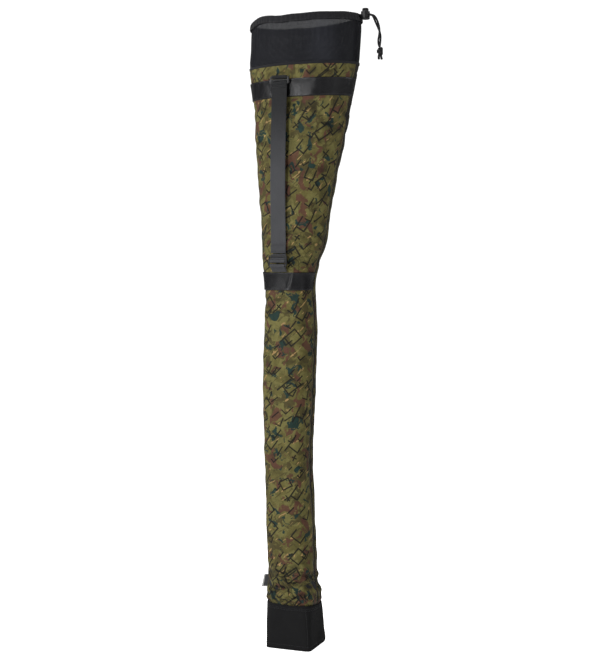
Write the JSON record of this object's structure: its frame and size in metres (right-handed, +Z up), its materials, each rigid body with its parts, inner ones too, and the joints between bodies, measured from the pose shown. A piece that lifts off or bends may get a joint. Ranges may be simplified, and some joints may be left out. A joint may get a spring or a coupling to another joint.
{
  "type": "slim drawstring carry bag",
  "caption": "Tall slim self-standing carry bag: stiff square boot, narrow printed fabric tube opening into a cone, mesh drawstring collar and webbing carry strap.",
  "frame": {"origin": "centre of the boot's underside", "axes": "+Z up along the bag, front with the carry strap towards -Y, cord lock on the +X side"},
  "size_m": [0.2682, 0.1694, 1.216],
  "materials": {
    "boot_fabric": "tight black polyester weave with a matt coated back",
    "base_board": "plain polyethylene sheet",
    "foam": "closed-cell foam",
    "printed_ripstop": "olive camouflage print on fine ripstop, slightly sheeny",
    "lining": "thin black woven lining",
    "coated_band": "smooth black coated band with a soft gloss and fine grain",
    "woven_tag": "blank woven tag, dark with a pale end",
    "open_mesh": "fine black open knit mesh",
    "hem_tape": "black woven binding over the mesh",
    "cord": "black braided round cord",
    "moulded_plastic": "satin black acetal",
    "spring_steel": "bright spring wire",
    "webbing": "black ribbed nylon webbing with a faint sheen"
  },
  "bodies": {
    "bag": {"boot_wall": "boot_fabric", "boot_bottom": "boot_fabric", "base_board": "base_board", "base_pad": "foam", "tube_front_panel": "printed_ripstop", "tube_back_panel": "printed_ripstop", "cone_front_panel": "printed_ripstop", "throat_front_panel": "printed_ripstop", "cone_back_panel": "printed_ripstop", "lining": "lining", "lower_band": "coated_band", "upper_band": "coated_band", "collar_front": "open_mesh", "collar_back": "open_mesh", "collar_hem": "hem_tape", "drawcord_loop": "cord", "cord_end_front": "cord", "cord_end_back": "cord", "cord_knot": "cord", "upper_tab": "webbing", "carry_strap": "webbing", "lower_tab": "webbing"},
    "cord_lock": {"cord_lock_barrel": "moulded_plastic", "cord_lock_spring": "spring_steel"},
    "lock_button": {"cord_lock_plunger": "moulded_plastic"},
    "upper_slide": {"upper_buckle": "moulded_plastic", "strap_upper_turn": "webbing"},
    "lower_slide": {"lower_buckle": "moulded_plastic", "strap_lower_turn": "webbing", "strap_tail": "webbing"},
    "tag": {"side_tag": "woven_tag"}
  },
  "joints": [
    {"name": "cord_lock_slide", "type": "slide", "parent": "bag", "child": "cord_lock", "axis": [1, 0, 0], "range_m": [0, 0.003]},
    {"name": "cord_lock_press", "type": "slide", "parent": "cord_lock", "child": "lock_button", "axis": [0, 0, -1], "range_m": [0, 0.0025], "stiffness_N_per_m": 800, "springref_m": -0.003, "deforming": ["cord_lock_spring"]},
    {"name": "upper_buckle_swing", "type": "hinge", "parent": "bag", "child": "upper_slide", "pos_m": [-0.0025, -0.076, 1.0862], "axis": [-1, 0, 0], "range_deg": [0, 30]},
    {"name": "lower_buckle_swing", "type": "hinge", "parent": "bag", "child": "lower_slide", "pos_m": [-0.015, -0.055, 0.735], "axis": [1, 0, 0], "range_deg": [0, 30]},
    {"name": "tag_flap", "type": "hinge", "parent": "bag", "child": "tag", "pos_m": [-0.0536, 0, 0.1195], "axis": [0, 0, 1], "range_deg": [-40, 40], "stiffness_Nm_per_rad": 0.002}
  ]
}
